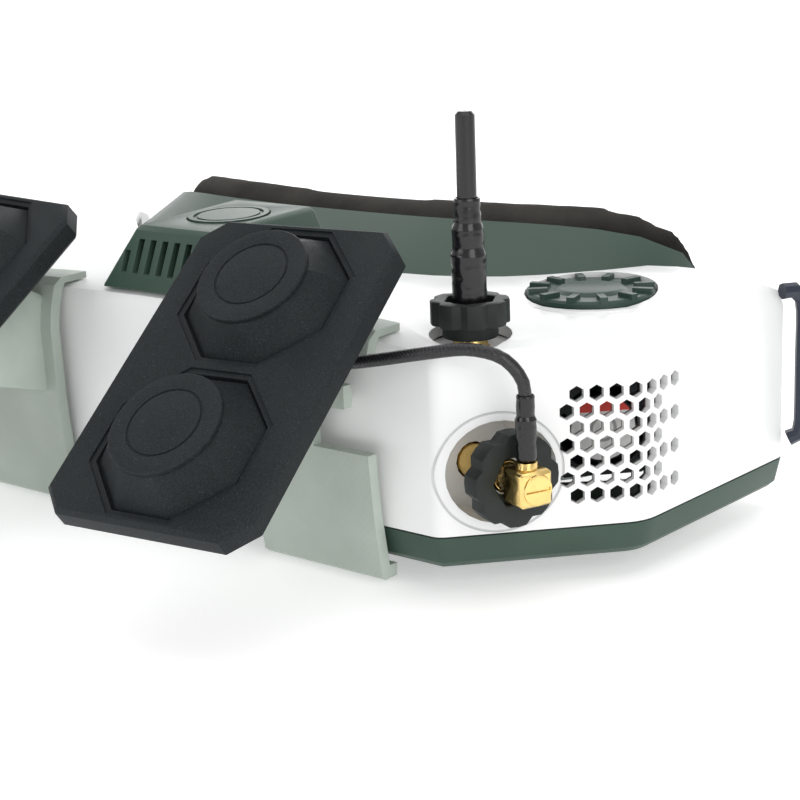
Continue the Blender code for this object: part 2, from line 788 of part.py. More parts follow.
def smooth_path(points, step):
    """Points at even steps on a smooth curve through the given ones."""
    points = [Vector(p) for p in points]
    ends = [points[0] * 2 - points[1]] + points + [points[-1] * 2 - points[-2]]
    fine = []
    for a, b, c, d in zip(ends, ends[1:], ends[2:], ends[3:]):
        for k in range(24):
            t = k / 24
            fine.append(0.5 * (2 * b + (c - a) * t + (2 * a - 5 * b + 4 * c - d) * t * t
                               + (3 * b - a - 3 * c + d) * t ** 3))
    fine.append(points[-1])
    out = [fine[0]]
    run = 0.0
    for a, b in zip(fine, fine[1:]):
        run += (b - a).length
        if run >= step:
            out.append(b)
            run = 0.0
    if (out[-1] - fine[-1]).length > step * 0.4:
        out.append(fine[-1])
    else:
        out[-1] = fine[-1]
    return out


def tube(name, points, radius, look, resolution=2):
    curve = bpy.data.curves.new(name, "CURVE")
    curve.dimensions = "3D"
    curve.bevel_depth = radius
    curve.bevel_resolution = resolution
    curve.use_fill_caps = True
    spline = curve.splines.new("POLY")
    spline.points.add(len(points) - 1)
    for spot, point in zip(spline.points, points):
        spot.co = (*point, 1.0)
    spline.use_smooth = True
    obj = bpy.data.objects.new(name, curve)
    bpy.context.scene.collection.objects.link(obj)
    paint(obj, look)
    return obj


# Patch antennas and their clips ----------------------------------------------------------------

def patch_frame():
    return along(PATCH_N, PATCH_AT, PATCH_UP)


def chamfered(half, corner):
    x, y = half
    return [(x, -y + corner), (x, y - corner), (x - corner, y), (-x + corner, y), (-x, y - corner),
            (-x, -y + corner), (-x + corner, -y), (x - corner, -y)]


POCKET = [(14.9, -5.7), (14.9, 5.7), (6.0, 14.4), (-6.0, 14.4), (-14.9, 5.7), (-14.9, -5.7),
          (-6.0, -14.4), (6.0, -14.4)]


def patch_cover():
    cover = prism("patch_cover_r", chamfered(PATCH_HALF, PATCH_CHAMFER), -PATCH_THICK, 0.0, look=CHARCOAL)
    bevel(cover, 0.8, 1, 60)
    for side, turn in ((1, 0.0), (-1, math.pi)):
        spot = Matrix.Translation((0, side * DISC_OFFSET, 0)) @ Matrix.Rotation(turn, 4, "Z")
        cut(cover, prism("line", [(x * 1.07, y * 1.07) for x, y in POCKET], -0.45, 2.0, spot))
        cut(cover, prism("pocket", POCKET, -1.5, 2.0, spot))
        verts = [spot @ Vector((x * 0.985, y * 0.985, z)) for z in (-2.5, -1.3) for x, y in POCKET]
        verts += [spot @ Vector((x, y, DISC_RISE - 0.9)) for x, y in
                  polygon(8, DISC_R * 0.98, math.radians(-22.5 + 38.0))]
        faces = [list(range(8)), list(range(16, 24))]
        for k in range(8):
            n = (k + 1) % 8
            faces.append([k, n, 8 + n, 8 + k])
            faces.append([8 + k, 8 + n, 16 + k])
            faces.append([8 + n, 16 + n, 16 + k])
        join(cover, add("fold", verts, faces, CHARCOAL))
        plate = [(DISC_R, DISC_RISE - 1.1), (DISC_R, DISC_RISE - 0.25), (DISC_R - 0.25, DISC_RISE)]
        join(cover, lathe("disc", plate, spot, CHARCOAL, 32))
        ring = [(6.6, DISC_RISE - 0.25), (7.0, DISC_RISE - 0.25), (7.0, DISC_RISE + 1), (6.6, DISC_RISE + 1)]
        cut(cover, lathe("ring", ring, spot, CHARCOAL, 26, closed=True))
    inner = (PATCH_HALF[0] - 2.4, PATCH_HALF[1] - 2.4)
    cut(cover, prism("rebate", chamfered(inner, 4.0), -PATCH_THICK - 3.0, -PATCH_THICK + 1.7))
    return place(cover, patch_frame())


LEAD_EXIT = Vector((3.0, 9.0))


def patch_base():
    inner = (PATCH_HALF[0] - 2.7, PATCH_HALF[1] - 2.7)
    base = prism("patch_base_r", chamfered(inner, 3.9), -PATCH_THICK, -PATCH_THICK + 1.4, look=CHARCOAL)
    spot = Matrix.Translation((*LEAD_EXIT, -PATCH_THICK))
    join(base, disc("boss", 2.6, -2.6, 0.6, spot, CHARCOAL, 18))
    cut(base, disc("bore", 1.5, -4.0, 0.2, spot, CHARCOAL, 16))
    return place(base, patch_frame())


def bracket():
    verts = []
    stations = [BRACKET_X[0] + (BRACKET_X[1] - BRACKET_X[0]) * k / 4 for k in range(5)]
    for x in stations:
        zt = top_z(x, 2.0)
        wall = BRACKET_WALL
        ring = [(5.4, zt + 1.8), (-1.2, zt + 1.7), (-3.2, zt + 0.3), (-4.4, zt - 3.6), (-5.1, 28.0),
                (-5.0, 23.8), (-4.7, 13.2), (-3.8, 2.8), (-3.4, 0.0), (-2.2, -8.8), (-1.2, -9.7),
                (2.0, -9.7), (2.2, -7.3), (0.1, -7.2), (-1.0, 0.0), (-3.8 + wall, 2.8),
                (-4.7 + wall, 13.2), (-5.0 + wall, 23.8), (-5.1 + wall, 28.0), (-4.4 + wall, zt - 4.0),
                (-1.2, zt - 0.9), (-0.4, zt + 0.35), (5.4, zt + 0.45)]
        verts += [Vector((x, y, z)) for y, z in ring]
    count = len(verts) // len(stations)
    faces = [list(range(count)), list(range(len(verts) - count, len(verts)))]
    for r in range(len(stations) - 1):
        for k in range(count):
            a = r * count
            n = (k + 1) % count
            faces.append([a + k, a + n, a + count + n, a + count + k])
    clip = add("bracket_r", verts, faces, PRINT_GREY, split=True)
    cut(clip, block("window", (43.0, -9.0, 14.5), (60.0, 9.0, 31.6)))
    cut(clip, block("slot", (37.5, -9.0, 20.0), (40.5, -1.0, 22.5)))
    join(clip, block("tab", (42.0, -4.9, 22.4), (51.0, -2.7, 26.6), PRINT_GREY))
    frame = patch_frame()
    sideways = Matrix(((0, 0, 1, 0), (1, 0, 0, 0), (0, 1, 0, 0), (0, 0, 0, 1)))
    arm = prism("arm", [(-4.0, 14.6), (-4.0, 34.6), (-14.0, 40.0), (-32.0, 27.0), (-30.0, 22.0)],
                ARM_X[0], ARM_X[1], sideways, PRINT_GREY)
    cut(arm, prism("space", [(-60, -60), (60, -60), (60, 60), (-60, 60)], -PATCH_THICK - GAP, 60.0, frame))
    join(clip, arm)
    return clip


# Optics ------------------------------------------------------------------------------------------

def optic(side, tag):
    eye = along((0, 1, 0), (side * OPTIC_X, 0.0, OPTIC_Z))
    profile = [(BARREL_R, 11.6), (BARREL_R, 37.8), (11.6, 37.8), (11.6, 13.6), (10.0, 13.6), (10.0, 11.6)]
    barrel = lathe("optic_barrel_" + tag, profile, eye, NUT_BLACK, 24, closed=True)
    panel = block("display_panel_" + tag, (side * OPTIC_X - 13.0, 8.6, 6.5), (side * OPTIC_X + 13.0, 11.2, 27.5),
                  PANEL)
    profile = [(13.2, 38.1), (13.2, 39.0), (12.9, 39.3), (12.9, 45.2), (12.6, 45.6), (11.4, 45.6),
               (11.4, 41.6), (11.0, 41.2), (11.0, 38.1)]
    ring = lathe("focus_ring_" + tag, profile, eye, NUT_BLACK, 28, closed=True)
    glass = lathe("eyepiece_lens_" + tag, [(11.1, 41.9), (11.1, 43.6), (8.0, 44.6), (4.0, 45.1), (0.0, 45.3)],
                  eye, LENS, 28)
    x = side * OPTIC_X
    knob = block("ipd_slider_" + tag, (x - 2.0, 13.6, BASE_BOTTOM - 0.5), (x + 2.0, 16.9, 2.9), NUT_BLACK)
    join(knob, block("grip", (x - 4.5, 13.4, BASE_BOTTOM - 2.6), (x + 4.5, 17.1, BASE_BOTTOM - GAP), NUT_BLACK))
    bevel(knob, 0.4, 1)
    return barrel, panel, ring, glass, knob


def optics_rail():
    place = Matrix(((1, 0, 0, 0), (0, 0, 1, 0), (0, 1, 0, 0), (0, 0, 0, 1)))
    under = BASE_BOTTOM + WALL + GAP
    points = [(-56, under), (-52, under), (-52, 0.9), (52, 0.9), (52, under), (56, under), (56, 2.9), (-56, 2.9)]
    return prism("optics_rail", points, 22.0, 30.0, place, STEEL)


# Small pieces --------------------------------------------------------------------------------------

def menu_dial():
    z = top_z(*DIAL_AT)
    place = Matrix.Translation((*DIAL_AT, z))
    low = -DIAL_WELL + DIAL_PRESS + GAP
    profile = [(0.0, low + 1.6), (1.8, low + 1.6), (1.8, low - 3.2), (2.35, low - 3.2), (2.35, low),
               (DIAL_R - 0.4, low), (DIAL_R, low + 0.4), (DIAL_R, -0.2), (DIAL_R - 0.6, 0.25), (7.0, 0.15),
               (6.2, 0.65), (5.7, 0.8)]
    dial = lathe("menu_dial", profile, place, DIAL_GREEN, 36)
    for k in range(DIAL_RIBS):
        turn = place @ Matrix.Rotation(math.tau * (k + 0.5) / DIAL_RIBS, 4, "Z")
        rib = block("rib", (8.2, -0.7, -1.0), (DIAL_R - 0.15, 0.7, 1.05), DIAL_GREEN, turn)
        join(dial, rib)
    disc("dial_shaft", 1.5, low - 4.2, low + 1.3, place, STEEL, 18)
    return dial


def base_screws():
    head = BASE_BOTTOM + 0.8
    spots = [(side * x, y) for side in (1, -1) for x, y in SCREWS]
    for number, (x, y) in enumerate(spots, 1):
        profile = [(2.3, BASE_BOTTOM + 0.1), (2.3, head), (1.1, head), (1.1, BASE_BOTTOM + 5.0)]
        place = Matrix.Translation((x, y, 0))
        lathe(f"base_screw_{number}", profile, place, STEEL, 12)


def strap_loop():
    points = smooth_path([(95.1, 73.6, 34.0), (96.0, 75.2, 34.2), (97.1, 77.2, 33.0), (97.3, 78.4, 29.5),
                          (97.3, 78.4, 20.0), (97.3, 78.4, 9.0), (97.1, 78.2, 5.6), (96.0, 77.6, 4.0),
                          (95.1, 77.0, 3.9)], 2.6)
    return tube("strap_loop_r", points, 1.6, NAVY, 2)


# Assembly ------------------------------------------------------------------------------------------

def both_sides(obj, look):
    left = mirrored(obj, obj.name[:-2] + "_l", look)
    return obj, left


ORIGINS = {}


def pivot(obj, at):
    ORIGINS[obj.name] = Vector(at)


def build():
    front_shell()
    bottom_shell()
    faceplate()
    face_foam()
    cowl = fan_cowl()
    badge = cowl_slots(cowl)
    disc("cowl_badge", 8.2, -0.4, 0.35, badge, GREEN, 32)
    cut(bpy.data.objects["cowl_badge"], lathe("ring", [(6.3, 0.0), (7.1, 0.0), (7.1, 2.0), (6.3, 2.0)], badge,
                                              sides=32, closed=True))
    block("main_board", (-57.0, 3.2, 3.0), (57.0, 4.8, 31.0), BOARD)
    block("receiver_module", (-9.5, 8.0, 8.0), (9.5, 30.0, 28.0), STEEL)
    optics_rail()
    frame, rotor = fan("cowl_fan", "", Matrix.Translation((0, 19.5, 38.4)), 9.6, 4.0, 5, -1)
    pivot(rotor, (0, 19.5, 40.0))
    seat = fan_matrix()
    frame, rotor = fan("side_fan", "_r", seat, FAN_HALF, 5.9, 5, 1)
    label = disc("fan_label_r", 5.9, FAN_THICK + 0.1, FAN_THICK + 0.3, seat, PAPER, 28)
    for obj, look in ((frame, NUT_BLACK), (rotor, NUT_BLACK), (label, PAPER)):
        both_sides(obj, look)
    at = seat @ Vector((0, 0, FAN_THICK / 2))
    pivot(rotor, at)
    ORIGINS["side_fan_rotor_l"] = Vector((-at.x, at.y, at.z))
    port = along(PORT_AXIS, PORT_AT)
    both_sides(sma_jack("sma_jack_front_r", port, -PORT_DEPTH, 3.0), GOLD)
    both_sides(thumb_nut("thumb_nut_front_r", port, 1.4, 6.4, 8, 8.5, 4.9, 3.5, 0.7), NUT_BLACK)
    both_sides(elbow_plug("elbow_plug_r", port), GOLD)
    for side, tag in ((1, "_r"), (-1, "_l")):
        ORIGINS["thumb_nut_front" + tag] = Vector((side * PORT_AT.x, PORT_AT.y, PORT_AT.z))
        ORIGINS["thumb_nut_top" + tag] = Vector((side * WHIP_AT[0], WHIP_AT[1], WHIP_BASE_Z))
        ORIGINS["focus_ring" + tag] = Vector((side * OPTIC_X, 42.0, OPTIC_Z))
        ORIGINS["optic_barrel" + tag] = Vector((side * OPTIC_X, 24.0, OPTIC_Z))
        optic(side, tag[1:])
    block_at = PORT_AT + PORT_AXIS * ELBOW_AT
    up = Matrix.Translation((block_at.x, block_at.y, block_at.z))
    sleeve = lathe("lead_sleeve_r", [(1.7, 4.6), (1.85, 5.0), (1.8, 11.4), (1.62, 12.2), (1.6, 15.6),
                                     (1.5, 16.0), (1.35, 16.0), (1.35, 13.0)], up, BLACK, 28)
    both_sides(sleeve, BLACK)
    whip = Matrix.Translation((*WHIP_AT, 0))
    both_sides(sma_jack("sma_jack_top_r", whip, WHIP_BASE_Z - 1.6, WHIP_BASE_Z + 4.0), GOLD)
    both_sides(thumb_nut("thumb_nut_top_r", whip, WHIP_BASE_Z + 0.2, WHIP_BASE_Z + 7.0, 8, 7.05, 5.0, 3.5),
               NUT_BLACK)
    sleeve = lathe("whip_sleeve_r", [(2.9, 38.6), (3.15, 39.4), (3.15, 49.2), (2.8, 50.2), (2.75, 53.4),
                                     (2.4, 54.4), (2.35, 58.6), (2.2, 59.0), (2.0, 59.0), (2.0, 55.5)],
                   whip, BLACK, 16)
    both_sides(sleeve, BLACK)
    rod = lathe("whip_cable_r", [(1.75, 55.8), (1.75, WHIP_TOP_Z - 0.8), (1.2, WHIP_TOP_Z - 0.2),
                                 (0.0, WHIP_TOP_Z)], whip, BLACK, 16)
    both_sides(rod, BLACK)
    both_sides(patch_cover(), CHARCOAL)
    both_sides(patch_base(), CHARCOAL)
    both_sides(bracket(), PRINT_GREY)
    dial = menu_dial()
    pivot(dial, (*DIAL_AT, top_z(*DIAL_AT)))
    block("menu_encoder", (DIAL_AT[0] - 4, DIAL_AT[1] - 4, 24.2), (DIAL_AT[0] + 4, DIAL_AT[1] + 4, 29.2),
          NUT_BLACK)
    base_screws()
    loop_r = strap_loop()
    lead = patch_lead()
    for obj, look in ((loop_r, NAVY), (lead, BLACK)):
        spots = [Vector((-p.co.x, p.co.y, p.co.z)) for p in obj.data.splines[0].points]
        tube(obj.name[:-2] + "_l", spots, obj.data.bevel_depth, look, obj.data.bevel_resolution)


def patch_lead():
    block_at = PORT_AT + PORT_AXIS * ELBOW_AT
    x, y, z = block_at
    frame = patch_frame()
    end = frame @ Vector((*LEAD_EXIT, -PATCH_THICK - 1.4))
    near = frame @ Vector((*LEAD_EXIT, -PATCH_THICK - 4.0))
    route = [(x, y, z + 13.3), (x, y, z + 15.5), (x - 0.3, y - 0.6, z + 19.0), (x - 3.0, y - 2.4, z + 22.6),
             (x - 8.0, y - 5.2, z + 24.0), (69.0, -3.6, 34.6), (60.0, -6.0, 32.8), (52.0, -8.0, 31.4),
             (46.0, -9.6, 30.2), tuple(near), tuple(end)]
    return tube("patch_lead_r", smooth_path(route, 3.2), 1.15, BLACK, 2)


def finish():
    """Shades the pieces, puts their origins in place and turns millimetres into metres."""
    for obj in list(bpy.data.objects):
        at = ORIGINS.get(obj.name, Vector((0, 0, 0)))
        obj.location = (at + SHIFT) * 0.001
        if obj.type == "CURVE":
            obj.data.bevel_depth *= 0.001
            for spot in obj.data.splines[0].points:
                spot.co = (*(spot.co.xyz * 0.001), 1.0)
        else:
            clean(obj)
            obj.data.transform(Matrix.Scale(0.001, 4) @ Matrix.Translation(-at))
            obj.data.set_sharp_from_angle(angle=math.radians(obj["smooth"]))
            obj.data.polygons.foreach_set("use_smooth", [True] * len(obj.data.polygons))


build()
finish()
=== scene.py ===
import json
import math

import bmesh
import bpy
from mathutils import Matrix, Vector, noise


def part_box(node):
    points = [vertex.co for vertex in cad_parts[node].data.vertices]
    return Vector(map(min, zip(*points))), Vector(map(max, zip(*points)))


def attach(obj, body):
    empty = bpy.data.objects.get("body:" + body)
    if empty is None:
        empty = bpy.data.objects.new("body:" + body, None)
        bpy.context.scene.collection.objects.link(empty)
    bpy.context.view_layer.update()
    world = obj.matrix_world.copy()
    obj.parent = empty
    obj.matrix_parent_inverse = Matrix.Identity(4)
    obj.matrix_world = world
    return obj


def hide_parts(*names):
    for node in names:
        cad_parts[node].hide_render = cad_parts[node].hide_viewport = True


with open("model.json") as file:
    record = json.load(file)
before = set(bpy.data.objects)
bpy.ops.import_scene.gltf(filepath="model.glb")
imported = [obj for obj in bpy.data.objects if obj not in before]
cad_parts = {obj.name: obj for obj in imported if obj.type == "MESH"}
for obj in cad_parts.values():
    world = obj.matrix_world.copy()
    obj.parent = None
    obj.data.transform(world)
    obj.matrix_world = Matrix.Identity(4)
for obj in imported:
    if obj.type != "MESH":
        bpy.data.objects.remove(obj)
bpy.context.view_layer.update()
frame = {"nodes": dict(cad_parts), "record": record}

# Places, in metres, as the CAD part has them. SHIFT turns the seam frame into the row frame.
SHIFT = Vector((0.0, -0.01578, 0.01112))
PORT_AT = Vector((0.0750, 0.0083, 0.0114)) + SHIFT
PORT_AXIS = Vector((0.923, -0.384, 0.0)).normalized()
ELBOW_AT = 0.0092
WHIP_AT = Vector((0.0670, 0.0116, 0.0)) + SHIFT
DIAL_AT = Vector((0.0717, 0.0428, 0.0)) + SHIFT
PATCH_AT = Vector((0.0427, -0.0259, 0.0336)) + SHIFT
PATCH_N = Vector((0.07, -0.613, 0.787)).normalized()
PATCH_UP = Vector((-0.094, 0.786, 0.61))
PATCH_THICK = 0.0048
LEAD_EXIT = (0.003, 0.009)
LEAD_RADIUS = 0.00115
SHELL_CORNERS = ((0.0675, 0.0), (0.0928, 0.0279), (0.0942, 0.0787))
SHELL_WIDEST_X = 0.090
REAR_MIDDLE_Y = 0.066
REAR_SWEEP = 62.0
ROOF_Z = 0.0369
ROOF_RISE = 0.037
ROOF_CROWN = 0.69
PORT_RING_RADIUS = 0.01085
WHIP_WELL_RADIUS = 0.0078
DIAL_WELL_RADIUS = 0.0127
PORT_KEEP_RADIUS = 0.0115

# Camera, at the photograph's angle --------------------------------------------------------------

camera = bpy.data.objects.new("camera", bpy.data.cameras.new("camera"))
bpy.context.scene.collection.objects.link(camera)
camera.data.lens = 82.8
camera.data.sensor_width = 36.0
camera.data.clip_start = 0.01
right = Vector((0.77389, 0.63228, -0.03626))
up = Vector((-0.13501, 0.22064, 0.96597))
back = right.cross(up)
spot = Vector((0.2597, -0.2398, 0.1070)) + SHIFT
camera.matrix_world = Matrix(((right.x, up.x, back.x, spot.x), (right.y, up.y, back.y, spot.y),
                              (right.z, up.z, back.z, spot.z), (0, 0, 0, 1))).normalized()
bpy.context.scene.camera = camera


# Geometry helpers --------------------------------------------------------------------------------

def along(axis, at, lead=None):
    """A matrix whose Z lies along axis at a point."""
    z = Vector(axis).normalized()
    x = Vector(lead) if lead is not None else Vector((0, 0, 1)).cross(z)
    if x.length < 1e-6:
        x = Vector((1, 0, 0))
    if lead is not None:
        y = (x - z * x.dot(z)).normalized()
        x = y.cross(z)
    else:
        x = x.normalized()
        y = z.cross(x)
    return Matrix(((x.x, y.x, z.x, at[0]), (x.y, y.y, z.y, at[1]), (x.z, y.z, z.z, at[2]), (0, 0, 0, 1)))


def new_mesh(name, verts, faces, smooth=40.0):
    mesh = bpy.data.meshes.new(name)
    mesh.from_pydata([tuple(v) for v in verts], [], faces)
    tidy = bmesh.new()
    tidy.from_mesh(mesh)
    bmesh.ops.recalc_face_normals(tidy, faces=tidy.faces)
    tidy.to_mesh(mesh)
    tidy.free()
    mesh.polygons.foreach_set("use_smooth", [True] * len(mesh.polygons))
    mesh.set_sharp_from_angle(angle=math.radians(smooth))
    obj = bpy.data.objects.new(name, mesh)
    bpy.context.scene.collection.objects.link(obj)
    return obj


def turned(name, profile, matrix, sides=48, wobble=None, smooth=40.0):
    """A closed turned solid. profile is a closed loop of (radius, height); wobble bends each point."""
    verts = []
    for radius, height in profile:
        for k in range(sides):
            a = math.tau * k / sides
            r, h = (radius, height) if wobble is None else wobble(radius, height, a)
            verts.append(matrix @ Vector((r * math.cos(a), r * math.sin(a), h)))
    faces = []
    rows = len(profile)
    for row in range(rows):
        other = (row + 1) % rows
        for k in range(sides):
            n = (k + 1) % sides
            faces.append((row * sides + k, row * sides + n, other * sides + n, other * sides + k))
    return new_mesh(name, verts, faces, smooth)


def curve_points(points, step):
    """Points at even steps on a smooth curve through the given ones."""
    points = [Vector(p) for p in points]
    ends = [points[0] * 2 - points[1]] + points + [points[-1] * 2 - points[-2]]
    fine = []
    for a, b, c, d in zip(ends, ends[1:], ends[2:], ends[3:]):
        for k in range(24):
            t = k / 24
            fine.append(0.5 * (2 * b + (c - a) * t + (2 * a - 5 * b + 4 * c - d) * t * t
                               + (3 * b - a - 3 * c + d) * t ** 3))
    fine.append(points[-1])
    out = [fine[0]]
    run = 0.0
    for a, b in zip(fine, fine[1:]):
        run += (b - a).length
        if run >= step:
            out.append(b)
            run = 0.0
    out[-1] = fine[-1]
    return out


def curve(name, points, radius, closed=False, sides=4):
    data = bpy.data.curves.new(name, "CURVE")
    data.dimensions = "3D"
    data.bevel_depth = radius
    data.bevel_resolution = sides
    data.use_fill_caps = not closed
    spline = data.splines.new("POLY")
    spline.points.add(len(points) - 1)
    for target, point in zip(spline.points, points):
        target.co = (*point, 1.0)
    spline.use_cyclic_u = closed
    spline.use_smooth = True
    obj = bpy.data.objects.new(name, data)
    bpy.context.scene.collection.objects.link(obj)
    return obj


def flipped(point, side):
    return Vector((point[0] * side, point[1], point[2]))


# Materials ---------------------------------------------------------------------------------------

class Nodes:
    """Builds one node material."""

    def __init__(self, name):
        self.material = bpy.data.materials.new(name)
        self.material.use_nodes = True
        self.tree = self.material.node_tree
        self.shader = self.tree.nodes["Principled BSDF"]
        self.place = self.add("ShaderNodeTexCoord").outputs["Object"]

    def add(self, kind, **settings):
        node = self.tree.nodes.new(kind)
        for key, value in settings.items():
            setattr(node, key, value)
        return node

    def put(self, socket, value):
        if isinstance(value, bpy.types.NodeSocket):
            self.tree.links.new(value, socket)
        else:
            socket.default_value = value

    def math(self, kind, a, b=0.0, c=0.0, clamp=False):
        node = self.add("ShaderNodeMath", operation=kind, use_clamp=clamp)
        for socket, value in zip(node.inputs, (a, b, c)):
            self.put(socket, value)
        return node.outputs[0]

    def vector(self, kind, a, b=(0.0, 0.0, 0.0), scale=1.0):
        node = self.add("ShaderNodeVectorMath", operation=kind)
        self.put(node.inputs[0], a)
        self.put(node.inputs[1], b)
        if kind == "SCALE":
            self.put(node.inputs["Scale"], scale)
        return node.outputs["Value" if kind in ("DOT_PRODUCT", "LENGTH", "DISTANCE") else "Vector"]

    def noise(self, scale, detail=3.0, rough=0.55, place=None, stretch=None):
        node = self.add("ShaderNodeTexNoise")
        spot = place or self.place
        if stretch is not None:
            spot = self.vector("MULTIPLY", spot, stretch)
        self.put(node.inputs["Vector"], spot)
        node.inputs["Scale"].default_value = scale
        node.inputs["Detail"].default_value = detail
        node.inputs["Roughness"].default_value = rough
        return node.outputs["Fac"]

    def cells(self, scale):
        node = self.add("ShaderNodeTexVoronoi", feature="F1")
        self.put(node.inputs["Vector"], self.place)
        node.inputs["Scale"].default_value = scale
        return node.outputs["Distance"]

    def ramp(self, value, low, high, out_low=0.0, out_high=1.0):
        node = self.add("ShaderNodeMapRange", clamp=True)
        for key, number in (("Value", value), ("From Min", low), ("From Max", high), ("To Min", out_low),
                            ("To Max", out_high)):
            self.put(node.inputs[key], number)
        return node.outputs["Result"]

    def mix(self, factor, a, b):
        node = self.add("ShaderNodeMix", data_type="RGBA")
        self.put(node.inputs[0], factor)
        self.put(node.inputs[6], (*a, 1.0) if isinstance(a, tuple) and len(a) == 3 else a)
        self.put(node.inputs[7], (*b, 1.0) if isinstance(b, tuple) and len(b) == 3 else b)
        return node.outputs[2]

    def bump(self, height, depth, strength=1.0, under=None):
        node = self.add("ShaderNodeBump")
        self.put(node.inputs["Height"], height)
        node.inputs["Distance"].default_value = depth
        node.inputs["Strength"].default_value = strength
        if under is not None:
            self.put(node.inputs["Normal"], under)
        return node.outputs["Normal"]

    def finish(self, colour, roughness, normal=None, metal=0.0, **more):
        self.put(self.shader.inputs["Base Color"], (*colour, 1.0) if isinstance(colour, tuple) else colour)
        self.put(self.shader.inputs["Roughness"], roughness)
        self.shader.inputs["Metallic"].default_value = metal
        if normal is not None:
            self.put(self.shader.inputs["Normal"], normal)
        for key, value in more.items():
            self.put(self.shader.inputs[key.replace("_", " ")], value)
        return self.material

    def axis_distance(self, at, axis):
        """Distance from a line, and how far along it."""
        offset = self.vector("SUBTRACT", self.place, tuple(at))
        along_it = self.vector("DOT_PRODUCT", offset, tuple(axis))
        foot = self.vector("SCALE", tuple(axis), scale=along_it)
        return self.vector("LENGTH", self.vector("SUBTRACT", offset, foot)), along_it


def moulded(name, colour, roughness, grain=0.000012, spread=0.06, grain_scale=5200.0, smudge=0.1, **more):
    """Moulded plastic: fine spark texture, a slow change of sheen and a little dust in the grain."""
    n = Nodes(name)
    fine = n.noise(grain_scale, 2.0)
    slow = n.noise(38.0, 4.0)
    lighter = tuple(min(1.0, c * (1 + spread) + 0.002) for c in colour)
    darker = tuple(c * (1 - spread) for c in colour)
    shade = n.mix(n.ramp(slow, 0.35, 0.65), darker, lighter)
    shine = n.math("ADD", n.ramp(slow, 0.3, 0.7, roughness - smudge / 2, roughness + smudge / 2),
                   n.ramp(fine, 0.3, 0.7, -0.03, 0.03))
    return n.finish(shade, shine, n.bump(fine, grain), **more)


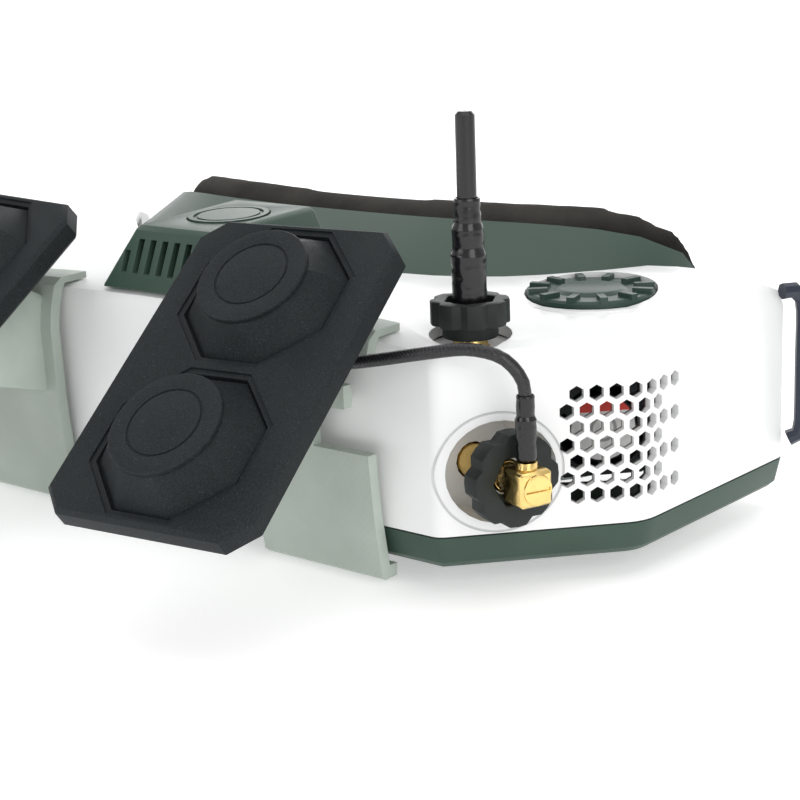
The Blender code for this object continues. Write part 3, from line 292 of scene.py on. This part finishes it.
def white_shell():
    """Bright satin shell plastic, with near-black painted shade on its inside surfaces and a thin ring
    round each front port: a small groove with a painted shade line.
    """
    n = Nodes("white_shell")
    fine = n.noise(6500.0, 2.0)
    slow = n.noise(30.0, 4.0)
    shade = n.mix(n.ramp(slow, 0.3, 0.7), (0.85, 0.86, 0.86), (0.90, 0.905, 0.905))
    # Each front port gets a thin ring at the rim of its recess: a small groove in the bump, and a grey
    # painted shade line in the colour.
    rim_groove_and_painted_shade = None
    for side in (1, -1):
        away, run = n.axis_distance(flipped(PORT_AT, side), flipped(PORT_AXIS, side))
        ring = n.math("MULTIPLY", n.ramp(n.math("ABSOLUTE", n.math("SUBTRACT", away, PORT_RING_RADIUS)),
                                         0.00010, 0.00026, 1.0, 0.0), n.ramp(run, -0.006, -0.004))
        rim_groove_and_painted_shade = ring if rim_groove_and_painted_shade is None else n.math("MAXIMUM", rim_groove_and_painted_shade, ring)
    # Painted shade: the rim ring is drawn dark grey on the white shell.
    shade = n.mix(n.math("MULTIPLY", rim_groove_and_painted_shade, 0.55), shade, (0.33, 0.345, 0.35))
    # From here the code builds a mask of the shell's inside surfaces, more than 1.3–1.7 mm in from the
    # outer planes and clear of the port, whip and dial wells, to be given painted shade.
    x = n.math("ABSOLUTE", n.vector("DOT_PRODUCT", n.place, (1.0, 0.0, 0.0)))
    y = n.vector("DOT_PRODUCT", n.place, (0.0, 1.0, 0.0))
    z = n.vector("DOT_PRODUCT", n.place, (0.0, 0.0, 1.0))
    folded = n.add("ShaderNodeCombineXYZ")
    for socket, value in zip(folded.inputs, (x, y, z)):
        n.put(socket, value)
    depth = n.math("SUBTRACT", y, SHIFT.y)
    for (ax, ay), (bx, by) in zip(SHELL_CORNERS, SHELL_CORNERS[1:]):
        out = Vector((by - ay, ax - bx, 0.0)).normalized()
        reach = n.math("SUBTRACT", out.dot(Vector((ax, ay, 0)) + SHIFT),
                       n.vector("DOT_PRODUCT", folded.outputs[0], tuple(out)))
        depth = n.math("MINIMUM", depth, reach)
    roof = n.math("ADD", n.math("MULTIPLY", y, ROOF_RISE), ROOF_Z + SHIFT.z - ROOF_RISE * SHIFT.y)
    crown = n.math("MULTIPLY", n.math("MULTIPLY", x, x), ROOF_CROWN)
    fade = n.ramp(y, SHIFT.y, 0.062 + SHIFT.y, 1.0, 0.0)
    roof = n.math("SUBTRACT", roof, n.math("MULTIPLY", crown, fade))
    depth = n.math("MINIMUM", depth, n.math("SUBTRACT", roof, z))
    to_edge = n.math("SUBTRACT", SHELL_WIDEST_X, x)
    sweep = n.math("MULTIPLY", n.math("MULTIPLY", to_edge, to_edge), REAR_SWEEP)
    rear = n.math("MAXIMUM", n.math("SUBTRACT", SHELL_CORNERS[-1][1], sweep), REAR_MIDDLE_Y)
    depth = n.math("MINIMUM", depth, n.math("SUBTRACT", n.math("ADD", rear, SHIFT.y), y))
    inner = n.ramp(depth, 0.0013, 0.0017)
    low = n.ramp(z, SHIFT.z + 0.002, SHIFT.z + 0.003)
    inner = n.math("MULTIPLY", inner, low)
    corner = n.math("MULTIPLY", n.math("MULTIPLY", n.ramp(y, 0.0595 + SHIFT.y, 0.060 + SHIFT.y),
                                       n.ramp(x, 0.0725, 0.073)),
                    n.ramp(z, 0.0270 + SHIFT.z, 0.0275 + SHIFT.z))
    inner = n.math("MULTIPLY", inner, n.math("SUBTRACT", 1.0, corner))
    for side in (1, -1):
        for at, axis, reach in ((flipped(PORT_AT, side), flipped(PORT_AXIS, side), PORT_KEEP_RADIUS),
                                (flipped(WHIP_AT, side), Vector((0, 0, 1)), WHIP_WELL_RADIUS),
                                (DIAL_AT, Vector((0, 0, 1)), DIAL_WELL_RADIUS)):
            away, run = n.axis_distance(at, axis)
            keep = n.ramp(away, reach - 0.0003, reach)
            if axis.z == 0:
                keep = n.math("MAXIMUM", keep, n.ramp(run, -0.0100, -0.0094, 1.0, 0.0))
            else:
                keep = n.math("MAXIMUM", keep, n.ramp(z, 0.0310 + SHIFT.z, 0.0316 + SHIFT.z, 1.0, 0.0))
            inner = n.math("MULTIPLY", inner, keep)
    # Painted shade: the inside surfaces of the white shell are made near-black.
    shade = n.mix(inner, shade, (0.018, 0.018, 0.019))
    shine = n.math("ADD", n.ramp(slow, 0.3, 0.7, 0.3, 0.4), n.ramp(fine, 0.3, 0.7, -0.03, 0.03))
    grain = n.bump(fine, 0.000006)
    return n.finish(shade, shine, n.bump(n.math("SUBTRACT", 1.0, rim_groove_and_painted_shade), 0.00012, under=grain))


def sintered():
    """Charcoal laser-sintered nylon: powdery grain, pale specks and soft tone steps."""
    n = Nodes("patch_print")
    grain = n.noise(3400.0, 4.0, 0.7)
    slow = n.noise(60.0, 4.0)
    speck = n.ramp(n.cells(2300.0), 0.05, 0.16, 1.0, 0.0)
    rare = n.ramp(n.noise(900.0, 1.0), 0.60, 0.66)
    shade = n.mix(n.ramp(slow, 0.3, 0.7), (0.0060, 0.0090, 0.0095), (0.0110, 0.0150, 0.0155))
    shade = n.mix(n.ramp(grain, 0.42, 0.75, 0.0, 0.75), shade, (0.036, 0.042, 0.048))
    shade = n.mix(n.math("MULTIPLY", n.math("MULTIPLY", speck, rare), 0.8), shade, (0.20, 0.21, 0.22))
    return n.finish(shade, n.ramp(grain, 0.3, 0.7, 0.5, 0.7), n.bump(grain, 0.00008, 0.9),
                    Specular_IOR_Level=0.2)


def printed():
    """Light grey filament print: layers 0.2 mm apart stacked along X, with a slightly uneven surface."""
    n = Nodes("grey_print")
    x = n.vector("DOT_PRODUCT", n.place, (1.0, 0.0, 0.0))
    drift = n.math("MULTIPLY", n.noise(90.0, 2.0), 0.00012)
    wave = n.math("SINE", n.math("MULTIPLY", n.math("ADD", x, drift), math.tau / 0.00028))
    slow = n.noise(45.0, 4.0)
    fine = n.noise(4200.0, 2.0)
    shade = n.mix(n.ramp(slow, 0.3, 0.7), (0.37, 0.425, 0.375), (0.47, 0.53, 0.475))
    shade = n.mix(n.ramp(wave, -1.0, -0.3, 0.35, 0.0), shade, (0.26, 0.30, 0.265))
    under = n.bump(fine, 0.00001)
    return n.finish(shade, n.ramp(slow, 0.3, 0.7, 0.36, 0.5), n.bump(wave, 0.00005, 0.8, under))


def foam_cloth():
    """Brushed dark foam: a short nap, tiny open cells and a slightly paler crest, which is a painted
    highlight along the top.
    """
    n = Nodes("foam")
    cell = n.cells(1900.0)
    nap = n.noise(5200.0, 3.0)
    slow = n.noise(70.0, 4.0)
    z = n.vector("DOT_PRODUCT", n.place, (0.0, 0.0, 1.0))
    shade = n.mix(n.ramp(slow, 0.3, 0.7), (0.008, 0.0075, 0.007), (0.018, 0.0165, 0.015))
    shade = n.mix(n.ramp(cell, 0.15, 0.5, 0.55, 0.0), shade, (0.006, 0.0055, 0.005))
    # Painted highlight: the top of the pad is made paler, in uneven patches.
    crest_painted_highlight = n.ramp(z, 0.0515 + SHIFT.z - 0.0108, 0.0575 + SHIFT.z - 0.0108)
    shade = n.mix(n.math("MULTIPLY", crest_painted_highlight, n.ramp(slow, 0.2, 0.6, 0.2, 0.6)), shade, (0.066, 0.062, 0.055))
    height = n.math("ADD", n.math("MULTIPLY", cell, 0.7), n.math("MULTIPLY", nap, 0.5))
    return n.finish(shade, 0.92, n.bump(height, 0.00012), Sheen_Weight=0.0, Sheen_Roughness=0.5,
                    Specular_IOR_Level=0.2)


def rubbery(name, colour, roughness, wrinkle=0.00006):
    """Heat-shrink and cable jacket: glossy, with soft wrinkles and a few scuffs."""
    n = Nodes(name)
    soft = n.noise(700.0, 2.0, stretch=(1.0, 1.0, 0.35))
    scuff = n.ramp(n.noise(2600.0, 4.0, 0.7), 0.58, 0.72)
    shade = n.mix(n.math("MULTIPLY", scuff, 0.35), colour, tuple(c * 3 + 0.004 for c in colour))
    return n.finish(shade, n.math("ADD", n.math("MULTIPLY", scuff, 0.25), roughness), n.bump(soft, wrinkle))


def braided():
    """Coaxial cable jacket over a woven screen, whose crossing strands show through as fine diamonds."""
    n = Nodes("lead_jacket")
    weave = None
    for axis in ((0.62, 0.35, 0.70), (0.62, 0.35, -0.70), (-0.35, 0.62, 0.70)):
        run = n.vector("DOT_PRODUCT", n.place, axis)
        wave = n.math("SINE", n.math("MULTIPLY", run, math.tau / 0.00052))
        if weave is None:
            weave = wave
        else:
            weave = n.math("MULTIPLY", weave, n.math("ADD", 1.0, n.math("MULTIPLY", wave, 0.5)))
    scuff = n.ramp(n.noise(3000.0, 3.0, 0.7), 0.56, 0.7)
    shade = n.mix(n.math("MULTIPLY", scuff, 0.4), (0.010, 0.010, 0.012), (0.09, 0.09, 0.095))
    return n.finish(shade, n.ramp(weave, -1.0, 1.0, 0.26, 0.40), n.bump(weave, 0.00002, 0.6))


def metal(name, colour, roughness, scale, stretch, depth):
    n = Nodes(name)
    brush = n.noise(scale, 4.0, 0.6, stretch=stretch)
    slow = n.noise(240.0, 3.0)
    shade = n.mix(n.ramp(slow, 0.3, 0.7), tuple(c * 0.86 for c in colour), colour)
    shine = n.ramp(brush, 0.3, 0.7, roughness * 0.7, roughness * 1.5)
    return n.finish(shade, shine, n.bump(brush, depth), metal=1.0)


def sticker(side):
    """Plain white fan sticker with one red band and a thin grey ring, no lettering."""
    low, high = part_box("fan_label_" + side)
    n = Nodes("label_" + side)
    z = n.vector("DOT_PRODUCT", n.place, (0.0, 0.0, 1.0))
    span = high[2] - low[2]
    band = n.math("MULTIPLY", n.ramp(z, low[2] + 0.76 * span, low[2] + 0.77 * span),
                  n.ramp(z, low[2] + 0.95 * span, low[2] + 0.96 * span, 1.0, 0.0))
    paper = n.mix(n.ramp(n.noise(2500.0, 3.0), 0.3, 0.7), (0.93, 0.93, 0.92), (0.97, 0.97, 0.96))
    middle = [(a + b) / 2 for a, b in zip(low, high)]
    away = n.vector("DISTANCE", n.place, tuple(middle))
    ring = n.ramp(n.math("ABSOLUTE", n.math("SUBTRACT", away, 0.0022)), 0.0002, 0.0004, 0.7, 0.0)
    shade = n.mix(ring, n.mix(band, paper, (0.80, 0.05, 0.03)), (0.20, 0.20, 0.20))
    return n.finish(shade, 0.45, n.bump(n.noise(3000.0), 0.00001))


def board():
    """Solder-masked circuit board: darker traces, tinned pads and small parts as tone steps."""
    n = Nodes("board")
    grid = n.add("ShaderNodeTexBrick")
    turned_place = n.add("ShaderNodeMapping")
    n.put(turned_place.inputs["Vector"], n.place)
    turned_place.inputs["Rotation"].default_value = (math.pi / 2, 0, 0)
    n.put(grid.inputs["Vector"], turned_place.outputs[0])
    grid.inputs["Scale"].default_value = 420.0
    grid.inputs["Color1"].default_value = (0.006, 0.05, 0.02, 1.0)
    grid.inputs["Color2"].default_value = (0.010, 0.085, 0.035, 1.0)
    grid.inputs["Mortar"].default_value = (0.02, 0.14, 0.06, 1.0)
    grid.inputs["Mortar Size"].default_value = 0.03
    pads = n.ramp(n.cells(300.0), 0.12, 0.14, 1.0, 0.0)
    shade = n.mix(pads, grid.outputs["Color"], (0.6, 0.6, 0.55))
    return n.finish(shade, 0.35, n.bump(grid.outputs["Fac"], 0.00005))


def lens():
    """Coated eyepiece glass, with a violet-green reflection over a dark inside."""
    n = Nodes("lens")
    haze = n.noise(120.0, 3.0)
    shade = n.mix(n.ramp(haze, 0.3, 0.7), (0.012, 0.014, 0.022), (0.020, 0.024, 0.036))
    return n.finish(shade, n.ramp(haze, 0.3, 0.7, 0.02, 0.05), Coat_Weight=1.0, Coat_Roughness=0.02,
                    Coat_Tint=(0.75, 0.85, 1.0, 1.0), Thin_Film_Thickness=420.0, Thin_Film_IOR=1.38)


def screen():
    n = Nodes("panel")
    rows = n.vector("DOT_PRODUCT", n.place, (0.0, 0.0, 1.0))
    lines = n.math("SINE", n.math("MULTIPLY", rows, math.tau / 0.0004))
    return n.finish(n.mix(n.ramp(lines, -1.0, 1.0), (0.012, 0.012, 0.018), (0.02, 0.022, 0.032)), 0.12,
                    n.bump(lines, 0.000004))


LOOKS = {
    "white_shell": white_shell(),
    "green_shell": moulded("green_shell", (0.036, 0.068, 0.051), 0.42, 0.000010, 0.08, 5200.0,
                           Specular_IOR_Level=0.35),
    "dial_green": moulded("dial_green", (0.026, 0.054, 0.043), 0.42, 0.000008, 0.08, 5200.0,
                           Specular_IOR_Level=0.3),
    "patch_print": sintered(),
    "grey_print": printed(),
    "black_plastic": moulded("black_plastic", (0.007, 0.009, 0.011), 0.46, 0.00002, 0.2, 3200.0,
                             Specular_IOR_Level=0.3),
    "nut_print": moulded("nut_print", (0.013, 0.017, 0.016), 0.55, 0.00004, 0.25, 2800.0,
                         Specular_IOR_Level=0.3),
    "black_sleeve": rubbery("black_sleeve", (0.005, 0.005, 0.006), 0.2, 0.00003),
    "lead_jacket": braided(),
    "navy_loop": moulded("navy_loop", (0.012, 0.018, 0.034), 0.38, 0.000012, 0.15, 4200.0),
    "gold": metal("gold", (0.92, 0.66, 0.25), 0.2, 900.0, (1.0, 1.0, 1.0), 0.00001),
    "steel": metal("steel", (0.56, 0.56, 0.57), 0.32, 700.0, (0.15, 1.0, 1.0), 0.000008),
    "foam": foam_cloth(),
    "board": board(),
    "lens": lens(),
    "panel": screen(),
}

for row in frame["record"]["subparts"]:
    node = frame["nodes"][row["node"]]
    look = LOOKS.get(row["material_slot"])
    if row["node"].startswith("thumb_nut"):
        look = LOOKS["nut_print"]
    if row["node"].startswith("fan_label"):
        look = sticker(row["node"][-1])
    node.data.materials.clear()
    node.data.materials.append(look)
    if "custom_normal" in node.data.attributes:
        node.data.attributes.remove(node.data.attributes["custom_normal"])
    node.data.polygons.foreach_set("use_smooth", [True] * len(node.data.polygons))
    weld = node.modifiers.new("weld", "WELD")
    weld.merge_threshold = 0.000002

# Softened edges on the rigid pieces --------------------------------------------------------------

BEVELS = {
    "patch_cover": 0.00028, "patch_base": 0.0002, "bracket": 0.00035, "thumb_nut": 0.00035,
    "elbow_plug": 0.00018, "fan_cowl": 0.0005, "menu_dial": 0.00022, "bottom_shell": 0.0004,
    "sma_jack": 0.00012, "focus_ring": 0.0003, "optic_barrel": 0.0003,
}
for name, node in frame["nodes"].items():
    for start, width in BEVELS.items():
        if name.startswith(start):
            soft = node.modifiers.new("soft_edges", "BEVEL")
            soft.width = width
            soft.segments = 2
            soft.limit_method = "ANGLE"
            soft.angle_limit = math.radians(32)
            soft.use_clamp_overlap = True
            break
    crease = node.modifiers.new("crease", "EDGE_SPLIT")
    crease.split_angle = math.radians(34)


# Leads from the patch antennas to the front ports --------------------------------------------------

def lead_route(side):
    x, y, z = PORT_AT + PORT_AXIS * ELBOW_AT
    patch = along(PATCH_N, PATCH_AT, PATCH_UP)
    end = patch @ Vector((*LEAD_EXIT, -PATCH_THICK - 0.0014))
    near = patch @ Vector((*LEAD_EXIT, -PATCH_THICK - 0.0040))
    middle = [Vector(p) + SHIFT for p in ((0.0690, -0.0036, 0.0346), (0.0600, -0.0060, 0.0328),
                                          (0.0520, -0.0080, 0.0314), (0.0460, -0.0096, 0.0302))]
    route = [(x, y, z + 0.0133), (x, y, z + 0.0155), (x - 0.0003, y - 0.0006, z + 0.0190),
             (x - 0.0030, y - 0.0024, z + 0.0226), (x - 0.0080, y - 0.0052, z + 0.0240), *middle, near, end]
    return [flipped(p, side) for p in curve_points(route, 0.0016)]


for side, tag in ((1, "r"), (-1, "l")):
    points = lead_route(side)
    lead = curve("lead_" + tag, points, LEAD_RADIUS, sides=5)
    lead.data.materials.append(LOOKS["lead_jacket"])
    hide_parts("patch_lead_" + tag)
    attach(lead, "case")


# Heat-shrink sleeves ---------------------------------------------------------------------------------

def shrink_profile(steps, inner):
    """A closed loop of (radius, height): up the outside with rounded steps, down the bore."""
    outer = []
    for (r0, h0), (r1, h1) in zip(steps, steps[1:]):
        count = max(2, int(abs(h1 - h0) / 0.0003))
        for k in range(count):
            t = k / count
            outer.append((r0 + (r1 - r0) * t, h0 + (h1 - h0) * t))
    outer.append(steps[-1])
    top = steps[-1][1]
    return outer + [(inner, top), (inner, steps[0][1])]


def shrink_wobble(seed, bore, depth):
    def bend(radius, height, a):
        if radius <= bore + 1e-6:
            return radius, height
        spot = Vector((math.cos(a) * 1.3 + seed, math.sin(a) * 1.3, height * 420.0))
        crease = noise.noise(Vector((math.cos(a) * 0.5 + seed, math.sin(a) * 0.5, height * 900.0)))
        return radius + depth * noise.noise(spot) - depth * max(0.0, crease) * 1.2, height
    return bend


for side, tag in ((1, "r"), (-1, "l")):
    whip = Matrix.Translation(flipped(WHIP_AT, side))
    steps = [(0.00285, 0.0387), (0.00312, 0.0396), (0.00308, 0.0440), (0.00312, 0.0474), (0.00318, 0.0490),
             (0.00296, 0.0495), (0.00280, 0.0500), (0.00282, 0.0520), (0.00284, 0.0535), (0.00262, 0.0541),
             (0.00244, 0.0546), (0.00238, 0.0566), (0.00236, 0.0586), (0.00226, 0.0589)]
    sleeve = turned("whip_shrink_" + tag, shrink_profile(steps, 0.0020), whip, 40,
                    shrink_wobble(3.0 + side, 0.0020, 0.00012), 60.0)
    sleeve.data.materials.append(LOOKS["black_sleeve"])
    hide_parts("whip_sleeve_" + tag)
    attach(sleeve, "case")
    block_at = flipped(PORT_AT + PORT_AXIS * ELBOW_AT, side)
    steps = [(0.00168, 0.0046), (0.00184, 0.0050), (0.00176, 0.0074), (0.00184, 0.0100), (0.00178, 0.0112),
             (0.00188, 0.0117), (0.00170, 0.0121), (0.00158, 0.0124), (0.00162, 0.0140), (0.00156, 0.0152),
             (0.00162, 0.0158), (0.00150, 0.0160)]
    cuff = turned("lead_shrink_" + tag, shrink_profile(steps, 0.00138), Matrix.Translation(block_at), 32,
                  shrink_wobble(8.0 + side, 0.00138, 0.00007), 60.0)
    cuff.data.materials.append(LOOKS["black_sleeve"])
    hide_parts("lead_sleeve_" + tag)
    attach(cuff, "case")


# Face foam -----------------------------------------------------------------------------------------

FOAM_VOXEL = 0.0016
FOAM_SHRINK = 0.0004
FOAM_PRESSURE = 4.0
FOAM_FRAMES = 12
FOAM_SWELL_MOST = 0.0009
FOAM_PROUD_MOST = 0.0006


def face_foam():
    source = frame["nodes"]["face_foam"]
    pad = bpy.data.objects.new("foam_pad", source.data.copy())
    bpy.context.scene.collection.objects.link(pad)
    mesh = pad.data
    work = bmesh.new()
    work.from_mesh(mesh)
    bmesh.ops.remove_doubles(work, verts=work.verts, dist=0.00002)
    work.normal_update()
    for vert in work.verts:
        vert.co -= vert.normal * FOAM_SHRINK
    work.to_mesh(mesh)
    work.free()
    bpy.context.view_layer.objects.active = pad
    remesh = pad.modifiers.new("remesh", "REMESH")
    remesh.mode = "VOXEL"
    remesh.voxel_size = FOAM_VOXEL
    bpy.context.view_layer.update()
    graph = bpy.context.evaluated_depsgraph_get()
    solid = bpy.data.meshes.new_from_object(pad.evaluated_get(graph))
    pad.modifiers.clear()
    pad.data = solid
    rest = [v.co.copy() for v in solid.vertices]
    cloth = pad.modifiers.new("cloth", "CLOTH")
    cloth.settings.use_pressure = True
    cloth.settings.uniform_pressure_force = FOAM_PRESSURE
    cloth.settings.effector_weights.gravity = 0.0
    cloth.settings.quality = 4
    scene = bpy.context.scene
    for step in range(1, FOAM_FRAMES + 1):
        scene.frame_set(step)
    graph = bpy.context.evaluated_depsgraph_get()
    swollen = bpy.data.meshes.new_from_object(pad.evaluated_get(graph))
    moved = [v.co.copy() for v in swollen.vertices]
    pad.modifiers.clear()
    scene.frame_set(1)
    for vert, start, end in zip(solid.vertices, rest, moved):
        step = end - start
        vert.co = start + step * min(1.0, FOAM_SWELL_MOST / max(step.length, 1e-9))
    limit = max(v.y for v in rest)
    for vert in solid.vertices:
        ripple = noise.noise(vert.co * 110.0) * 0.00018 + noise.noise(vert.co * 420.0) * 0.00005
        vert.co += vert.normal * ripple
        vert.co.y = min(vert.co.y, limit + FOAM_PROUD_MOST)
    smooth = pad.modifiers.new("smooth", "CORRECTIVE_SMOOTH")
    smooth.iterations = 9
    smooth.use_only_smooth = True
    solid.polygons.foreach_set("use_smooth", [True] * len(solid.polygons))
    solid.materials.clear()
    solid.materials.append(LOOKS["foam"])
    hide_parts("face_foam")
    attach(pad, "case")
    return pad


face_foam()

# Stage and light --------------------------------------------------------------------------------------

def stage_material(name, glow):
    n = Nodes(name)
    tone = n.mix(n.ramp(n.noise(2.0, 2.0), 0.3, 0.7), (0.88, 0.88, 0.88), (0.90, 0.90, 0.90))
    return n.finish(tone, 0.9, Emission_Color=(1.0, 1.0, 1.0, 1.0), Emission_Strength=glow)


def stage_piece(name, corners, glow):
    piece = new_mesh(name, corners, [(0, 1, 2, 3)])
    piece.data.materials.append(stage_material(name, glow))


stage_piece("floor", [(-6, -6, 0), (6, -6, 0), (6, 6, 0), (-6, 6, 0)], 0.42)
stage_piece("backdrop", [(-6, 1.5, -0.01), (0.5, 4.5, -0.01), (0.5, 4.5, 3.0), (-6, 1.5, 3.0)], 0.9)


def area(name, at, target, size, power, tint=(1.0, 1.0, 1.0)):
    light = bpy.data.lights.new(name, "AREA")
    light.shape = "RECTANGLE"
    light.size, light.size_y = size
    light.energy = power
    light.color = tint
    obj = bpy.data.objects.new(name, light)
    bpy.context.scene.collection.objects.link(obj)
    obj.matrix_world = along(Vector(at) - Vector(target), at)
    return obj


MIDDLE = (0.03, 0.0, 0.03)
area("top", (0.05, 0.05, 0.75), MIDDLE, (0.9, 0.7), 2.0)
area("front_right", (0.75, -0.35, 0.35), MIDDLE, (0.5, 0.5), 2.1, (1.0, 0.99, 0.975))
area("front_left", (-0.25, -0.85, 0.30), MIDDLE, (0.6, 0.4), 1.5, (0.97, 0.985, 1.0))
area("rear", (-0.35, 0.80, 0.35), MIDDLE, (0.7, 0.4), 1.1)

world = bpy.data.worlds.new("studio")
world.use_nodes = True
world.node_tree.nodes["Background"].inputs["Color"].default_value = (1.0, 1.0, 1.0, 1.0)
world.node_tree.nodes["Background"].inputs["Strength"].default_value = 0.62
bpy.context.scene.world = world
bpy.context.scene.view_settings.view_transform = "Standard"
